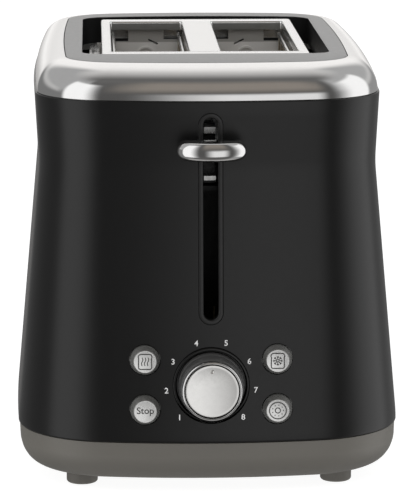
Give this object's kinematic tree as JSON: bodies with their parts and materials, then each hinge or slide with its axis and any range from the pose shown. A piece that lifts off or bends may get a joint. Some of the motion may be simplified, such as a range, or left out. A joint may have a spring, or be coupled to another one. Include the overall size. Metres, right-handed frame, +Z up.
{
  "type": "pop up toaster",
  "caption": "Pop up toaster with long bread slots, a front lever, a sprung carriage, closing bread guides, a browning dial, push buttons and a rear crumb tray.",
  "frame": {"origin": "centre of the bounding box's underside, on the surface that the feet stand on", "axes": "+Z up, +Y from the lever front to the rear, +X to the right as seen from the front"},
  "size_m": [0.1846, 0.294, 0.1995],
  "materials": {
    "casing_black": "satin",
    "bright_metal": "polished",
    "trim_grey": "matt",
    "polished_plate": "polished",
    "base_grey": "satin",
    "foot_grey": "matt",
    "liner_black": "satin",
    "gloss_black": "gloss",
    "satin_face": "satin",
    "button_silver": "satin metallic",
    "chassis_steel": "zinc plated",
    "mechanism_steel": "plated",
    "reflector_aluminium": "bright",
    "mica": "matt",
    "resistance_ribbon": "oxidised",
    "wire_steel": "bright drawn",
    "spring_steel": "bright",
    "board_green": "solder mask",
    "part_black": "matt",
    "pot_blue": "satin",
    "core_iron": "laminated",
    "coil_copper": "enamelled",
    "contact_bronze": "bright",
    "gland_rubber": "matt",
    "screw_steel": "plated",
    "tray_steel": "bright"
  },
  "bodies": {
    "root": {"body_shell": "casing_black", "shoulder_trim": "bright_metal", "top_bezel": "trim_grey", "slot_plate": "polished_plate", "base_tray": "base_grey", "foot_front_left": "foot_grey", "foot_front_right": "foot_grey", "foot_rear_left": "foot_grey", "foot_rear_right": "foot_grey", "lever_slot_liner": "liner_black", "dial_surround": "gloss_black", "potentiometer": "pot_blue", "button_carrier": "part_black", "control_board": "board_green", "tact_switches": "part_black", "chassis_front_plate": "chassis_steel", "chassis_rear_plate": "chassis_steel", "reflector_left": "reflector_aluminium", "reflector_right": "reflector_aluminium", "heater_outer_left": "mica", "heater_inner_left": "mica", "heater_inner_right": "mica", "heater_outer_right": "mica", "heater_ribbons": "resistance_ribbon", "guide_rods": "wire_steel", "rod_bracket_top": "mechanism_steel", "rod_bracket_bottom": "mechanism_steel", "return_spring": "spring_steel", "magnet_core": "core_iron", "magnet_coil": "coil_copper", "magnet_bracket": "mechanism_steel", "power_contacts": "contact_bronze", "cord_gland": "gland_rubber", "base_screws": "screw_steel", "chassis_screws": "screw_steel"},
    "carriage": {"lever_handle": "bright_metal", "lever_arm": "mechanism_steel", "carriage_bracket": "mechanism_steel", "catch_plate": "core_iron", "bread_lift_left": "mechanism_steel", "bread_lift_right": "mechanism_steel"},
    "cage_outer_left": {"guide_outer_left": "wire_steel"},
    "cage_inner_left": {"guide_inner_left": "wire_steel"},
    "cage_inner_right": {"guide_inner_right": "wire_steel"},
    "cage_outer_right": {"guide_outer_right": "wire_steel"},
    "dial": {"browning_knob": "gloss_black", "knob_ring": "bright_metal", "knob_cap": "satin_face", "knob_shaft": "mechanism_steel"},
    "reheat_key": {"reheat_button": "button_silver"},
    "stop_key": {"stop_button": "button_silver"},
    "defrost_key": {"defrost_button": "button_silver"},
    "bagel_key": {"bagel_button": "button_silver"},
    "crumb_drawer": {"crumb_tray": "tray_steel", "crumb_tray_handle": "base_grey"}
  },
  "joints": [
    {"name": "carriage_slide", "type": "slide", "parent": "root", "child": "carriage", "axis": [0, 0, -1], "range_m": [0, 0.072], "stiffness_N_per_m": 25, "springref_m": -0.12, "deforming": ["return_spring"]},
    {"name": "cage_outer_left_hinge", "type": "hinge", "parent": "root", "child": "cage_outer_left", "pos_m": [-0.0434, 0.00594, 0.054], "axis": [0, 1, 0], "range_deg": [0, 2.5]},
    {"name": "cage_inner_left_hinge", "type": "hinge", "parent": "root", "child": "cage_inner_left", "pos_m": [-0.0089, 0.00594, 0.054], "axis": [0, -1, 0], "range_deg": [0, 2.5]},
    {"name": "cage_inner_right_hinge", "type": "hinge", "parent": "root", "child": "cage_inner_right", "pos_m": [0.0089, 0.00594, 0.054], "axis": [0, 1, 0], "range_deg": [0, 2.5]},
    {"name": "cage_outer_right_hinge", "type": "hinge", "parent": "root", "child": "cage_outer_right", "pos_m": [0.0434, 0.00594, 0.054], "axis": [0, -1, 0], "range_deg": [0, 2.5]},
    {"name": "dial_turn", "type": "hinge", "parent": "root", "child": "dial", "pos_m": [0, -0.13606, 0.0523], "axis": [0, 1, 0], "range_deg": [-135, 135]},
    {"name": "reheat_press", "type": "slide", "parent": "root", "child": "reheat_key", "axis": [0, 1, 0], "range_m": [0, 0.0015], "stiffness_N_per_m": 300, "springref_m": -0.001},
    {"name": "stop_press", "type": "slide", "parent": "root", "child": "stop_key", "axis": [0, 1, 0], "range_m": [0, 0.0015], "stiffness_N_per_m": 300, "springref_m": -0.001},
    {"name": "defrost_press", "type": "slide", "parent": "root", "child": "defrost_key", "axis": [0, 1, 0], "range_m": [0, 0.0015], "stiffness_N_per_m": 300, "springref_m": -0.001},
    {"name": "bagel_press", "type": "slide", "parent": "root", "child": "bagel_key", "axis": [0, 1, 0], "range_m": [0, 0.0015], "stiffness_N_per_m": 300, "springref_m": -0.001},
    {"name": "crumb_drawer_slide", "type": "slide", "parent": "root", "child": "crumb_drawer", "axis": [0, 1, 0], "range_m": [0, 0.18]}
  ],
  "couplings": [
    {"joint": "cage_outer_left_hinge", "follows": "carriage_slide", "rad_per_m": 0.58},
    {"joint": "cage_inner_left_hinge", "follows": "carriage_slide", "rad_per_m": 0.58},
    {"joint": "cage_inner_right_hinge", "follows": "carriage_slide", "rad_per_m": 0.58},
    {"joint": "cage_outer_right_hinge", "follows": "carriage_slide", "rad_per_m": 0.58}
  ]
}
